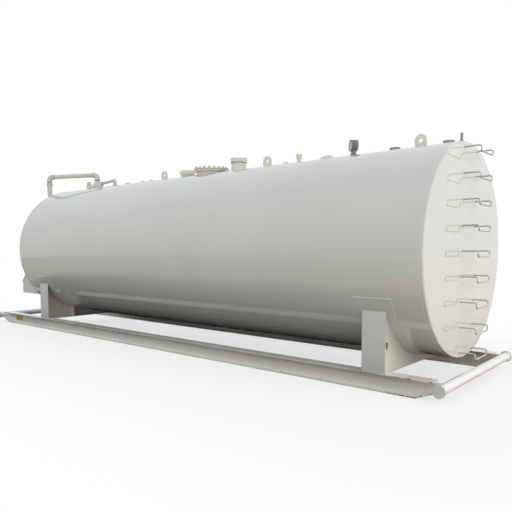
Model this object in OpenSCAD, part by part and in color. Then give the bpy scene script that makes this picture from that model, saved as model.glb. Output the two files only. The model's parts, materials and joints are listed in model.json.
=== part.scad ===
// Horizontal storage tank on a sled skid: a welded cylinder with flanged flat heads,
// two plate saddles, a frame of two I-beams with drag bars, and its crown fittings.
// The origin is the middle of the skid on the ground. +X runs along the tank towards
// the head with the steps, and the front beam is on the -Y side. Sizes are in millimetres.

/* [Tank shell] */
// Outside diameter of the shell
tank_d = 2600; // [2450:10:2900]
// Plate thickness of the shell
shell_t = 6.5; // [5:0.5:12]
// Length of the first course, at the plain head
course_1_len = 1560; // [1400:10:2000]
// Length of the second course
course_2_len = 1520; // [1400:10:2000]
// Length of the middle course, which carries the manway
course_3_len = 1930; // [1800:10:2200]
// Length of the fourth course
course_4_len = 1830; // [1500:10:2100]
// Length of the fifth course, at the head with the steps
course_5_len = 1700; // [1500:10:2000]
// Distance of the tank's middle from the skid's middle
tank_x = 530; // [400:5:600]
// Gap between the underside of the shell and the top of the skid
tank_gap = 95; // [80:1:160]

/* [Heads] */
// Plate thickness of the heads
head_t = 8; // [6:0.5:14]
// Straight flange between the weld and the bend
head_flange = 39; // [15:1:60]
// Outside radius of the bend
head_knuckle = 16; // [12:1:40]

/* [Skid] */
// Distance between the axes of the two drag bars
skid_len = 10040; // [9900:10:10600]
// Width over the outer flange edges of the two beams
skid_w = 2250; // [2100:10:2320]
// Depth of an I-beam
beam_h = 210; // [190:1:260]
// Flange width of an I-beam
beam_flange_w = 168; // [130:1:210]
// Flange thickness of an I-beam
beam_flange_t = 12; // [8:0.5:18]
// Web thickness of an I-beam
beam_web_t = 8; // [6:0.5:12]
// Fillet radius between web and flange
beam_fillet = 12; // [6:1:16]
// Distance of the top flange's tip from the axis of the drag bar
beam_tip_gap = 100; // [70:1:160]
// Length over which the bottom flange rises to the drag bar
nose_run = 295; // [240:5:400]
// Depth below the drag bar's axis at which the raised flange meets the bar
nose_drop = 28.5; // [20:0.5:40]
// Outside diameter of the drag bar's pipe
drag_bar_d = 114; // [90:1:130]
// Wall of the drag bar's pipe
drag_bar_t = 8.5; // [5:0.5:12]
// Depth of the drag bar's axis below the top of the beams
drag_bar_drop = 64; // [60:1:80]
// Reach of the drag bar past the outer edge of each beam
drag_bar_reach = 74; // [40:1:120]
// Diameter of the end disc of a drag bar
drag_cap_d = 148; // [134:1:180]
// Thickness of the end disc of a drag bar
drag_cap_t = 25; // [10:1:40]

/* [Saddles] */
// Distance from a head's weld to the middle of its saddle
saddle_inset = 581; // [480:1:700]
// Width of a saddle along the tank
saddle_w = 296; // [240:2:380]
// Plate thickness of the saddle web
saddle_web_t = 12; // [8:0.5:20]
// Distance of the web from the outboard edge of the posts
saddle_web_inset = 24; // [10:1:60]
// Plate thickness of the posts at the saddle's ends
post_t = 12; // [8:0.5:20]
// Plate thickness of the base under the saddle
saddle_base_t = 16; // [10:1:25]
// Plate thickness of the stiffeners
stiffener_t = 12; // [8:0.5:20]
// Distance of the stiffeners from the middle of the skid
stiffener_y = 540; // [400:5:700]
// Diameter of the tie hole near each end of the web
tie_hole_d = 86; // [60:1:96]
// Distance of the tie hole from the outer face of the post
tie_hole_inset = 86; // [80:1:110]
// Height of the tie hole above the top of the beams
tie_hole_z = 312; // [250:1:400]
// Width of the wear plate between shell and saddle
wear_plate_w = 464; // [400:2:560]
// Thickness of the wear plate
wear_plate_t = 8; // [6:0.5:14]
// Angle that the wear plate wraps round the shell
wear_plate_angle = 132; // [124:1:150]

/* [Steps] */
// Diameter of the bar that a step is bent from
step_bar_d = 19; // [14:0.5:25]
// Width between the two legs of a step, on their axes
step_w = 430; // [350:5:460]
// Distance of the steps' middle from the tank's middle plane
step_y = 50; // [0:5:60]
// Reach of a step out from the head, to the axis of its tread
step_reach = 190; // [150:5:260]
// Drop from the legs of a step to its tread
step_drop = 67; // [58:1:100]
// Bend radius of a step, on the bar's axis
step_bend = 26; // [20:1:28]
// Distance from the outside of the shell to the highest and lowest step
step_margin = 80; // [75:1:160]

/* [Lifting lugs] */
// Width of a lug, twice the radius of its round top
lug_w = 156; // [130:2:200]
// Thickness of a lug
lug_t = 22; // [16:1:32]
// Height of the lug's hole above the crown of the shell
lug_hole_z = 96; // [80:1:130]
// Diameter of the lug's hole
lug_hole_d = 56; // [40:1:64]
// Distance of the outer lugs from the tank's middle
lug_outer_x = 3720; // [3690:5:3740]
// Distance of the inner lugs from the tank's middle
lug_inner_x = 1230; // [1150:5:1300]

/* [Manway] */
// Outside diameter of the neck
manway_neck_d = 508; // [460:1:520]
// Wall of the neck
manway_neck_t = 9; // [6:0.5:14]
// Diameter of the flange and of its cover
manway_flange_d = 610; // [600:2:680]
// Thickness of the flange
manway_flange_t = 22; // [16:1:32]
// Thickness of the cover
manway_cover_t = 18; // [12:1:28]
// Height of the joint between flange and cover above the crown
manway_joint_z = 60; // [52:1:140]

/* [Vents] */
// Distance of the emergency vent from the tank's middle
vent_x = 630; // [600:5:680]
// Outside diameter of the emergency vent's body
vent_d = 246; // [200:2:280]
// Wall of the emergency vent's body
vent_t = 8; // [4:0.5:12]
// Height of the body above the crown
vent_z = 134; // [100:1:200]
// Height of the emergency vent's lid
vent_lid_h = 70; // [60:1:90]
// Wall of the lid's skirt
vent_lid_t = 5; // [3:0.5:10]
// Gap between the lid's skirt and the body
vent_lid_gap = 3; // [1.5:0.5:6]
// Depth of the lid's skirt
vent_skirt = 8; // [4:1:20]
// Flare of the lid from its skirt to its rim
vent_lid_flare = 9; // [4:1:14]
// Height of the rim that stands round the top of the lid
vent_rim_h = 26; // [20:1:34]
// Width of the rim round the top of the lid
vent_rim_w = 15; // [8:1:24]
// Rise of the lid's top from its rim to its middle
vent_lid_crown = 12; // [4:1:18]
// Width of a scallop in the rim
vent_scallop_w = 30; // [16:1:36]
// Distance of the low vent from the tank's middle, to the plain head
low_vent_x = 600; // [540:5:700]
// Diameter of the low vent's hood
low_vent_d = 272; // [220:2:320]
// Height of the low vent above the crown
low_vent_z = 116; // [90:1:150]
// Diameter of the low vent's neck
low_vent_neck_d = 222; // [180:2:240]
// Height of the low vent's neck above the crown
low_vent_neck_z = 14; // [8:1:24]
// Height of the hood's lower edge above the crown
low_vent_hood_z = 56; // [40:1:74]
// Bevel round the top of the hood
low_vent_edge = 14; // [6:1:16]
// Distance of the small vent from the weld of the head with the steps
small_vent_inset = 2432; // [2380:1:2500]
// Diameter of the small vent's stem
small_vent_d = 56; // [40:1:66]
// Diameter of the small vent's cap
small_vent_cap_d = 92; // [80:1:110]
// Height of the small vent above the crown
small_vent_z = 133; // [110:1:180]
// Height of the small vent's foot above the crown
small_vent_foot_z = 16; // [10:1:24]
// Width of the foot round the stem
small_vent_foot = 8; // [4:1:12]
// Height above the crown at which the stem starts to widen
small_vent_stem_z = 30; // [26:1:60]
// Height of the cap's lower edge above the crown
small_vent_cap_z = 104; // [80:1:108]
// Bevel round the top of the cap
small_vent_edge = 8; // [4:1:12]

/* [Fill line] */
// Outside diameter of the fill pipe
fill_pipe_d = 89; // [76:1:96]
// Distance of the fill riser from the weld of the plain head
fill_riser_inset = 865; // [820:5:930]
// Height of the fill pipe's run above the crown
fill_run_z = 290; // [285:5:360]
// Distance of the drop pipe from the face of the plain head
fill_drop_gap = 185; // [140:5:260]
// Distance of the drop pipe from the tank's middle plane, to the front
fill_drop_y = 480; // [420:5:540]
// Diameter of the riser's base
riser_base_d = 232; // [200:2:260]
// Height of the riser's base above the crown
riser_base_z = 166; // [150:1:174]
// Height of the straight rim of the riser's base
riser_rim_z = 56; // [40:1:70]
// Height at which the taper of the riser's base ends
riser_taper_z = 126; // [110:1:140]
// Diameter of the bands on elbows and couplings
fill_band_d = 118; // [110:1:130]
// Length of a band on an elbow
fill_band_l = 30; // [20:1:40]
// Bend radius of an elbow, on the pipe's axis
fill_elbow_r = 76; // [70:1:84]
// Height of the union on the drop pipe above the crown
fill_union_z = 166; // [140:1:174]
// Length of the union and of the coupling on the fill box
fill_union_l = 62; // [40:1:80]
// Length of the reducer under the union
fill_reducer_l = 230; // [150:5:300]
// Diameter of the reducer at the union
fill_reducer_d = 108; // [98:1:110]

/* [Fill box] */
// Length of the fill box, out from the head
fill_box_l = 825; // [740:5:900]
// Width of the fill box
fill_box_w = 700; // [600:5:760]
// Height of the underside of the box above the top of the beams
fill_box_z = 440; // [400:5:500]
// Height of the box's outer face
fill_box_front_h = 255; // [200:5:300]
// Height of the box at the head
fill_box_back_h = 560; // [480:5:620]
// Plate thickness of the box
fill_box_t = 5; // [3:0.5:8]
// Angle of the lid's slope above the horizontal
fill_lid_angle = 45; // [35:1:55]
// Overlap of the lid past the edges of the box
fill_lid_lap = 12; // [4:1:25]

/* [Return line] */
// Outside diameter of the return pipe
return_pipe_d = 60; // [48:1:66]
// Distance of the near coupling from the weld of the plain head
return_near_inset = 1490; // [1460:5:1540]
// Distance of the far coupling from the weld of the plain head
return_far_inset = 780; // [770:5:800]
// Distance of the far coupling from the tank's middle plane, to the back
return_far_y = 158; // [150:1:220]
// Height of the return pipe above the crown
return_run_z = 130; // [115:1:150]
// Bend radius of the return elbows
return_elbow_r = 46; // [42:1:52]
// Diameter of the couplings under the return line
return_coupling_d = 100; // [90:1:110]
// Diameter of the bands on the elbows of the return line
return_band_d = 78; // [72:1:88]
// Height of the couplings above the crown
return_coupling_z = 43; // [30:1:50]
// Length of a band on an elbow of the return line
return_band_l = 20; // [12:1:26]

/* [Level gauge] */
// Distance of the gauge from the weld of the head with the steps
gauge_inset = 1513; // [1440:1:1600]
// Diameter of the gauge's drum
gauge_d = 155; // [130:1:180]
// Depth of the gauge's drum
gauge_depth = 88; // [70:1:110]
// Height of the drum's axis above the crown
gauge_z = 147; // [130:1:180]
// Diameter of the gauge's stem
gauge_stem_d = 74; // [60:1:80]
// Diameter of the gauge's foot
gauge_foot_d = 100; // [90:1:130]
// Height of the gauge's foot above the crown
gauge_foot_z = 24; // [16:1:40]
// Width and depth of the rim round the dial
gauge_rim = 10; // [5:1:16]
// Turn of the dial from the front of the tank
gauge_turn = 41; // [20:1:60]

/* [Crown plugs] */
// Diameter of the four-inch half couplings
plug_large_d = 138; // [120:1:150]
// Diameter of the smaller half couplings
plug_small_d = 98; // [80:1:110]
// Height of the half couplings above the crown
plug_z = 32; // [24:1:50]
// Height of a plug's square head above its coupling
plug_head_z = 14; // [8:1:24]
// Width of the square head of a large plug
plug_large_head = 46; // [30:1:60]
// Width of the square head of a smaller plug
plug_small_head = 33; // [20:1:45]
// Height of the tall half couplings by the head with the steps, whose plugs are sunk
sunk_plug_z = 44; // [36:1:60]
// Width of the square socket in a sunk plug
sunk_socket_w = 38; // [24:1:50]
// Depth of the square socket in a sunk plug
sunk_socket_z = 12; // [6:1:20]
// Distance of the first plug from the weld of the plain head
plug_1_inset = 1934; // [1900:1:1960]
// Distance of the second plug from the weld of the plain head
plug_2_inset = 2410; // [2380:1:2440]
// Distance of the third plug from the weld of the plain head
plug_3_inset = 2653; // [2630:1:2680]
// Distance of the fourth plug from the weld of the head with the steps
plug_4_inset = 2680; // [2660:1:2720]
// Distance of the fifth plug from the weld of the head with the steps
plug_5_inset = 901; // [860:1:940]
// Distance of the sixth plug from the weld of the head with the steps
plug_6_inset = 196; // [180:1:230]
// Distance of the low hatch from the weld of the head with the steps
hatch_inset = 1925; // [1900:1:1960]
// Diameter of the low hatch
hatch_d = 220; // [180:2:260]
// Height of the low hatch's flange above the crown
hatch_z = 26; // [20:1:40]
// Diameter of the boss on the low hatch
hatch_boss_d = 110; // [80:1:140]
// Height of the boss on the low hatch
hatch_boss_z = 26; // [16:1:40]
// Distance of the nipple from the weld of the head with the steps
nipple_inset = 40; // [30:1:60]
// Diameter of the nipple
nipple_d = 34; // [24:1:44]
// Diameter of the nipple's half coupling
nipple_coupling_d = 48; // [46:1:60]
// Height of the nipple above the crown
nipple_z = 120; // [90:1:160]

/* [Hidden] */
$fn = 96;
// Facets of circles about the tank's axis
tank_fn = 480;
step_count = 9;
tank_r = tank_d / 2;
course_lens = [course_1_len, course_2_len, course_3_len, course_4_len, course_5_len];
course_count = len(course_lens);
function sum_to(values, last) = last < 0 ? 0 : values[last] + sum_to(values, last - 1);
tank_len = sum_to(course_lens, course_count - 1);
axis_z = beam_h + tank_gap + tank_r;
crown_z = axis_z + tank_r;
weld_left = tank_x - tank_len / 2;
weld_right = tank_x + tank_len / 2;
head_depth = head_flange + head_knuckle;
face_left = weld_left - head_depth;
face_right = weld_right + head_depth;
skid_half_w = skid_w / 2;
beam_y = skid_half_w - beam_flange_w / 2;
drag_bar_x = skid_len / 2;
drag_bar_z = beam_h - drag_bar_drop;
drag_bar_half = skid_half_w + drag_bar_reach;
tip_x = drag_bar_x - beam_tip_gap;
kink_x = drag_bar_x - nose_run;
nose_z = drag_bar_z - nose_drop;
wear_r = tank_r + wear_plate_t;
saddle_xs = [weld_left + saddle_inset, weld_right - saddle_inset];
saddle_floor = beam_h + saddle_base_t;
post_inner_y = skid_half_w - post_t;
// A post ends where its inner face meets the wear plate, or at the axis where it stands clear of it
post_top = axis_z - sqrt(max(0, wear_r * wear_r - post_inner_y * post_inner_y));
web_offset = saddle_w / 2 - saddle_web_inset - saddle_web_t / 2;
step_pitch = 2 * (tank_r - step_margin) / (step_count - 1);
lug_xs = [for (x = [-lug_outer_x, -lug_inner_x, lug_inner_x, lug_outer_x]) tank_x + x];
fill_riser_x = weld_left + fill_riser_inset;
fill_drop_x = face_left - fill_drop_gap;
fill_run = norm([fill_riser_x - fill_drop_x, fill_drop_y]);
fill_turn = atan2(fill_drop_y, fill_riser_x - fill_drop_x);
fill_box_x = face_left - fill_box_l;
fill_box_floor = beam_h + fill_box_z;
fill_box_top = fill_box_floor + fill_box_back_h;
fill_slope = fill_box_back_h - fill_box_front_h;
return_near_x = weld_left + return_near_inset;
return_far_x = weld_left + return_far_inset;
return_run = norm([return_near_x - return_far_x, return_far_y]);
return_turn = atan2(return_far_y, return_near_x - return_far_x);
web_back = saddle_web_inset + saddle_web_t;
manway_bore = manway_neck_d - 2 * manway_neck_t;
// Depth below the crown that every fitting starts from, before the shell trims it
root_depth = 45;
// Overrun of a cut past the faces that it opens
cut_over = 2;
// Scallops round the rim of the emergency vent's lid
vent_scallops = 16;
// Each headed plug: its place along the tank, the diameter of its coupling and the width of its head
headed_plugs = [
    [weld_left + plug_1_inset, plug_large_d, plug_large_head],
    [weld_left + plug_2_inset, plug_small_d, plug_small_head],
    [weld_left + plug_3_inset, plug_small_d, plug_small_head],
    [weld_right - plug_4_inset, plug_small_d, plug_small_head]];
sunk_plug_xs = [weld_right - plug_5_inset, weld_right - plug_6_inset];
function numbered(stem, count) = [for (i = [1 : count]) str(stem, i)];
COURSES = numbered("shell_course_", course_count);
STEPS = numbered("step_", step_count);
LUGS = numbered("lifting_lug_", len(lug_xs));
paint = [0.80, 0.80, 0.77];
bare_steel = [0.36, 0.36, 0.35];

// A cylinder along +X that starts at x, on the tank's axis
module along_x(x, length, d) {
    translate([x, 0, axis_z]) rotate([0, 90, 0]) cylinder(h = length, d = d, $fn = tank_fn);
}

// A fitting on the crown, drawn with z = 0 at the crown and trimmed by the shell
module on_crown(x, y = 0) {
    difference() {
        translate([x, y, crown_z]) children();
        along_x(weld_left, tank_len, tank_d);
    }
}

// A quarter of a bent bar, from +X round to +Y about the origin
module quarter_bend(bend_r, d) {
    rotate_extrude(angle = 90) translate([bend_r, 0]) circle(d = d);
}

// Stands a YZ outline up at x and gives it a thickness along +X
module across(x, thickness) {
    translate([x, 0, 0]) rotate([90, 0, 90]) linear_extrude(thickness) children();
}

// Stands an XZ outline up about y = 0 and gives it a width along Y
module lengthwise(width) {
    rotate([90, 0, 0]) linear_extrude(width, center = true) children();
}

// One rolled course of the shell, with the manway's opening where it falls
module shell_course(i) {
    start = weld_left + sum_to(course_lens, i - 1);
    color(paint) difference() {
        along_x(start, course_lens[i], tank_d);
        along_x(start - cut_over, course_lens[i] + 2 * cut_over, tank_d - 2 * shell_t);
        translate([tank_x, 0, axis_z]) cylinder(h = tank_d, d = manway_bore);
    }
}

// Half section of a disc with a rounded rim, its flat back on y = 0
module round_rim_section(r, depth, rim) {
    intersection() {
        union() {
            square([r, depth - rim]);
            square([r - rim, depth]);
            translate([r - rim, depth - rim]) circle(r = rim);
        }
        square([r, depth]);
    }
}

// Turns a half section about the tank's axis; side is -1 or 1 for its way along X
module turned_head(weld_x, side) {
    translate([weld_x, 0, axis_z]) rotate([0, side * 90, 0])
        rotate_extrude($fn = tank_fn) children();
}

// Flat head with a bent flange, butt welded to the shell
module head(weld_x, side) {
    color(paint) turned_head(weld_x, side) difference() {
        round_rim_section(tank_r, head_depth, head_knuckle);
        round_rim_section(tank_r - head_t, head_depth - head_t, head_knuckle - head_t);
    }
}

// Rolled plate between shell and saddle
module wear_plate(x) {
    color(paint) translate([x - wear_plate_w / 2, 0, axis_z]) rotate([0, 90, 0])
        rotate([0, 0, -wear_plate_angle / 2]) rotate_extrude(angle = wear_plate_angle, $fn = tank_fn)
            translate([tank_r, 0]) square([wear_plate_t, wear_plate_w]);
}

// Outline across a saddle between two Y values, cut to the wear plate
module saddle_outline(y_from, y_to) {
    difference() {
        translate([y_from, saddle_floor]) square([y_to - y_from, axis_z - saddle_floor]);
        translate([0, axis_z]) circle(r = wear_r, $fn = tank_fn);
    }
}

// Web of a saddle with a tie hole near each post; side is -1 or 1 for outboard
module saddle_web(x, side) {
    color(paint) across(x + side * web_offset - saddle_web_t / 2, saddle_web_t) difference() {
        saddle_outline(-post_inner_y, post_inner_y);
        for (end = [-1, 1])
            translate([end * (skid_half_w - tie_hole_inset), beam_h + tie_hole_z])
                circle(d = tie_hole_d);
    }
}

// Plate that carries a saddle across the two beams
module saddle_base(x) {
    color(paint) translate([x - saddle_w / 2, -skid_half_w, beam_h])
        cube([saddle_w, skid_w, saddle_base_t]);
}

// Upright end plates, four in all, which stop under the wear plates
module saddle_posts() {
    color(paint) for (x = saddle_xs, side = [-1, 1])
        translate([x - saddle_w / 2, side * (skid_half_w - post_t / 2) - post_t / 2, saddle_floor])
            cube([saddle_w, post_t, post_top - saddle_floor]);
}

// Stiffeners on the inboard side of each web, cut to the wear plate
module saddle_stiffeners() {
    color(paint) for (side = [-1, 1], end = [-1, 1])
        across(saddle_xs[side < 0 ? 0 : 1] - (side < 0 ? saddle_w / 2 - web_back : saddle_w / 2),
               saddle_w - web_back)
            saddle_outline(end * stiffener_y - stiffener_t / 2, end * stiffener_y + stiffener_t / 2);
}

// Rolled I section with root fillets, its foot on y = 0
module beam_section() {
    pocket_h = beam_h - 2 * beam_flange_t;
    pocket_w = (beam_flange_w - beam_web_t) / 2;
    difference() {
        translate([-beam_flange_w / 2, 0]) square([beam_flange_w, beam_h]);
        for (side = [0, 1]) mirror([side, 0]) translate([beam_web_t / 2, beam_flange_t]) {
            translate([beam_fillet, 0]) square([pocket_w, pocket_h]);
            translate([0, beam_fillet]) square([pocket_w, pocket_h - 2 * beam_fillet]);
            for (corner_y = [beam_fillet, pocket_h - beam_fillet])
                translate([beam_fillet, corner_y]) circle(r = beam_fillet);
        }
    }
}

// End of a beam at +X: the top flange stops short, and the bottom flange rises to the drag bar
module beam_nose() {
    rise = atan2(nose_z, nose_run);
    skin = beam_flange_t / cos(rise);
    miter_x = kink_x - beam_flange_t * tan(rise / 2);
    across(kink_x, tip_x - kink_x) intersection() {
        beam_section();
        translate([-beam_flange_w / 2, beam_h - beam_flange_t - beam_fillet])
            square([beam_flange_w, beam_flange_t + beam_fillet]);
    }
    lengthwise(beam_flange_w)
        polygon([[kink_x, 0], [drag_bar_x, nose_z], [drag_bar_x, nose_z + skin],
                 [miter_x, beam_flange_t]]);
    lengthwise(beam_web_t)
        polygon([[miter_x, beam_flange_t / 2], [kink_x, beam_flange_t / 2],
                 [drag_bar_x, nose_z + skin / 2], [drag_bar_x, beam_h - beam_flange_t],
                 [miter_x, beam_h - beam_flange_t]]);
}

// I-beam of the skid, coped to the drag bar at both ends
module skid_beam(y) {
    color(paint) difference() {
        translate([0, y, 0]) {
            across(-kink_x, 2 * kink_x) beam_section();
            for (side = [0, 1]) mirror([side, 0]) beam_nose();
        }
        for (side = [-1, 1]) across_pipe(side, y - beam_flange_w, 2 * beam_flange_w, drag_bar_d);
    }
}

// A cylinder along +Y on a drag bar's axis, which starts at y
module across_pipe(side, y, length, d) {
    translate([side * drag_bar_x, y, drag_bar_z]) rotate([-90, 0, 0]) cylinder(h = length, d = d);
}

// Pipe that joins the ends of the two beams
module drag_bar(side) {
    color(paint) difference() {
        across_pipe(side, -drag_bar_half, 2 * drag_bar_half, drag_bar_d);
        across_pipe(side, -drag_bar_half - cut_over, 2 * (drag_bar_half + cut_over),
                    drag_bar_d - 2 * drag_bar_t);
    }
}

// Discs that close the drag bars and keep a tow rope on them
module drag_bar_caps() {
    color(paint) for (side = [-1, 1], y = [-drag_bar_half - drag_cap_t, drag_bar_half])
        across_pipe(side, y, drag_cap_t, drag_cap_d);
}

// One step bent from round bar, with its tread below its two legs
module step(i) {
    leg_z = axis_z + (i - (step_count - 1) / 2) * step_pitch;
    tread_x = face_right + step_reach;
    tread_z = leg_z - step_drop;
    color(paint) difference() {
        union() {
            for (end = [-1, 1]) {
                leg_y = step_y + end * step_w / 2;
                translate([weld_right, leg_y, leg_z]) rotate([0, 90, 0])
                    cylinder(h = tread_x - step_bend - weld_right, d = step_bar_d);
                translate([tread_x - step_bend, leg_y, leg_z - step_bend]) rotate([90, 0, 0])
                    quarter_bend(step_bend, step_bar_d);
                translate([tread_x, leg_y, tread_z + step_bend])
                    cylinder(h = step_drop - 2 * step_bend, d = step_bar_d);
                translate([tread_x, leg_y - end * step_bend, tread_z + step_bend])
                    rotate([90, 0, 90]) rotate([0, 0, end > 0 ? -90 : 180])
                        quarter_bend(step_bend, step_bar_d);
            }
            translate([tread_x, step_y - step_w / 2 + step_bend, tread_z]) rotate([-90, 0, 0])
                cylinder(h = step_w - 2 * step_bend, d = step_bar_d);
        }
        turned_head(weld_right, 1) round_rim_section(tank_r, head_depth, head_knuckle);
    }
}

// Lifting lug, a plate on edge along the crown
module lifting_lug(x) {
    color(paint) on_crown(x) lengthwise(lug_t) difference() {
        union() {
            translate([-lug_w / 2, -root_depth]) square([lug_w, root_depth + lug_hole_z]);
            translate([0, lug_hole_z]) circle(d = lug_w);
        }
        translate([0, lug_hole_z]) circle(d = lug_hole_d);
    }
}

// Neck of the manway with its flange
module manway_neck() {
    color(paint) on_crown(tank_x) difference() {
        union() {
            translate([0, 0, -root_depth]) cylinder(h = root_depth + manway_joint_z, d = manway_neck_d);
            translate([0, 0, manway_joint_z - manway_flange_t])
                cylinder(h = manway_flange_t, d = manway_flange_d);
        }
        translate([0, 0, -root_depth - cut_over])
            cylinder(h = root_depth + manway_joint_z + 2 * cut_over, d = manway_bore);
    }
}

// Cover plate bolted to the manway's flange
module manway_cover() {
    color(paint) translate([tank_x, 0, crown_z + manway_joint_z])
        cylinder(h = manway_cover_t, d = manway_flange_d);
}

// Body of the emergency vent, an open pipe under a loose lid
module emergency_vent() {
    color(paint) on_crown(tank_x + vent_x) difference() {
        translate([0, 0, -root_depth]) cylinder(h = root_depth + vent_z, d = vent_d);
        translate([0, 0, -root_depth - cut_over])
            cylinder(h = root_depth + vent_z + 2 * cut_over, d = vent_d - 2 * vent_t);
    }
}

// Lid of the emergency vent: a flared cap on a short skirt, with a scalloped rim round its top
module emergency_vent_lid() {
    skirt_inner_r = vent_d / 2 + vent_lid_gap;
    skirt_r = skirt_inner_r + vent_lid_t;
    rim_r = skirt_r + vent_lid_flare;
    rim_inner_r = rim_r - vent_rim_w;
    rim_foot_z = vent_lid_h - vent_rim_h;
    color(paint) translate([tank_x + vent_x, 0, crown_z + vent_z]) difference() {
        rotate_extrude() polygon([
            [0, 0], [skirt_inner_r, 0], [skirt_inner_r, -vent_skirt], [skirt_r, -vent_skirt],
            [rim_r, rim_foot_z], [rim_r, vent_lid_h], [rim_inner_r, vent_lid_h],
            [rim_inner_r, rim_foot_z], [0, rim_foot_z + vent_lid_crown]]);
        for (i = [0 : vent_scallops - 1]) rotate([0, 0, i * 360 / vent_scallops])
            translate([rim_inner_r - cut_over, 0, vent_lid_h]) rotate([0, 90, 0])
                cylinder(h = vent_rim_w + 2 * cut_over, d = vent_scallop_w);
    }
}

// Low vent: a drum that flares out from its neck
module low_vent() {
    hood_r = low_vent_d / 2;
    neck_r = low_vent_neck_d / 2;
    color(paint) on_crown(tank_x - low_vent_x) rotate_extrude() polygon([
        [0, -root_depth], [neck_r, -root_depth], [neck_r, low_vent_neck_z],
        [hood_r, low_vent_hood_z], [hood_r, low_vent_z - low_vent_edge],
        [hood_r - low_vent_edge, low_vent_z], [0, low_vent_z]]);
}

// Small vent, a stem that widens to a cap
module small_vent() {
    stem_r = small_vent_d / 2;
    cap_r = small_vent_cap_d / 2;
    foot_r = stem_r + small_vent_foot;
    color(paint) on_crown(weld_right - small_vent_inset) rotate_extrude() polygon([
        [0, -root_depth], [foot_r, -root_depth], [foot_r, small_vent_foot_z],
        [stem_r, small_vent_foot_z + small_vent_foot], [stem_r, small_vent_stem_z],
        [cap_r, small_vent_cap_z], [cap_r, small_vent_z - small_vent_edge],
        [cap_r - small_vent_edge, small_vent_z], [0, small_vent_z]]);
}

// A pipe that rises at the origin, runs along +X at run_z and drops again to drop_z
module pipe_bridge(run, rise_z, run_z, drop_z, bend_r, d, band_d, band_l) {
    body_d = (d + band_d) / 2;
    translate([0, 0, rise_z]) cylinder(h = run_z - bend_r - rise_z, d = d);
    translate([run, 0, drop_z]) cylinder(h = run_z - bend_r - drop_z, d = d);
    translate([bend_r, 0, run_z]) rotate([0, 90, 0]) cylinder(h = run - 2 * bend_r, d = d);
    for (side = [0, 1]) translate([side * run, 0, run_z]) mirror([side, 0, 0]) {
        translate([bend_r, 0, -bend_r]) rotate([90, 0, 0]) rotate([0, 0, 90])
            quarter_bend(bend_r, body_d);
        translate([0, 0, -bend_r - band_l]) cylinder(h = band_l, d = band_d);
        translate([bend_r, 0, 0]) rotate([0, 90, 0]) cylinder(h = band_l, d = band_d);
    }
}

// Fill line from its base on the crown, over the plain head and down into the fill box
module fill_pipe() {
    base_r = riser_base_d / 2;
    band_r = fill_band_d / 2;
    box_drop = fill_box_top - crown_z;
    color(paint) {
        on_crown(fill_riser_x) rotate_extrude() polygon([
            [0, -root_depth], [base_r, -root_depth], [base_r, riser_rim_z],
            [band_r, riser_taper_z], [band_r, riser_base_z], [0, riser_base_z]]);
        translate([fill_riser_x, 0, crown_z]) rotate([0, 0, 180 + fill_turn]) {
            pipe_bridge(fill_run, riser_taper_z, fill_run_z, box_drop, fill_elbow_r,
                        fill_pipe_d, fill_band_d, fill_band_l);
            for (z = [fill_union_z - fill_union_l, box_drop])
                translate([fill_run, 0, z]) cylinder(h = fill_union_l, d = fill_band_d);
            translate([fill_run, 0, fill_union_z - fill_union_l - fill_reducer_l])
                cylinder(h = fill_reducer_l, d1 = fill_pipe_d, d2 = fill_reducer_d);
        }
    }
}

// Fill box on the plain head, open at its slope
module fill_box() {
    front_top = fill_box_floor + fill_box_front_h;
    color(paint) translate([0, -fill_drop_y, 0]) difference() {
        lengthwise(fill_box_w) polygon([
            [fill_box_x, fill_box_floor], [face_left, fill_box_floor], [face_left, fill_box_top],
            [fill_box_x + fill_slope / tan(fill_lid_angle), fill_box_top], [fill_box_x, front_top]]);
        translate([fill_box_x + fill_box_t, -fill_box_w / 2 + fill_box_t, fill_box_floor + fill_box_t])
            cube([fill_box_l - 2 * fill_box_t, fill_box_w - 2 * fill_box_t,
                  fill_box_back_h - 2 * fill_box_t]);
    }
}

// Lid on the slope of the fill box
module fill_box_lid() {
    slope_len = fill_slope / sin(fill_lid_angle);
    color(paint)
        translate([fill_box_x, -fill_drop_y - fill_box_w / 2 - fill_lid_lap,
                   fill_box_floor + fill_box_front_h])
            rotate([0, -fill_lid_angle, 0]) translate([-fill_lid_lap, 0, 0])
                cube([slope_len + 2 * fill_lid_lap, fill_box_w + 2 * fill_lid_lap, fill_box_t]);
}

// Return line between two half couplings on the crown
module return_line() {
    color(paint) difference() {
        translate([return_near_x, 0, crown_z]) rotate([0, 0, 180 - return_turn]) {
            pipe_bridge(return_run, -root_depth, return_run_z, -root_depth, return_elbow_r,
                        return_pipe_d, return_band_d, return_band_l);
            for (x = [0, return_run]) translate([x, 0, -root_depth])
                cylinder(h = root_depth + return_coupling_z, d = return_coupling_d);
        }
        along_x(weld_left, tank_len, tank_d);
    }
}

// Clock gauge: a drum on a stem, with its dial turned to the front
module level_gauge() {
    color(bare_steel) on_crown(weld_right - gauge_inset) {
        translate([0, 0, -root_depth]) cylinder(h = root_depth + gauge_foot_z, d = gauge_foot_d);
        translate([0, 0, -root_depth]) cylinder(h = root_depth + gauge_z, d = gauge_stem_d);
        translate([0, 0, gauge_z]) rotate([90, 0, -gauge_turn]) difference() {
            cylinder(h = gauge_depth, d = gauge_d, center = true);
            translate([0, 0, gauge_depth / 2 - gauge_rim])
                cylinder(h = gauge_rim + cut_over, d = gauge_d - 2 * gauge_rim);
        }
    }
}

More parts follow.
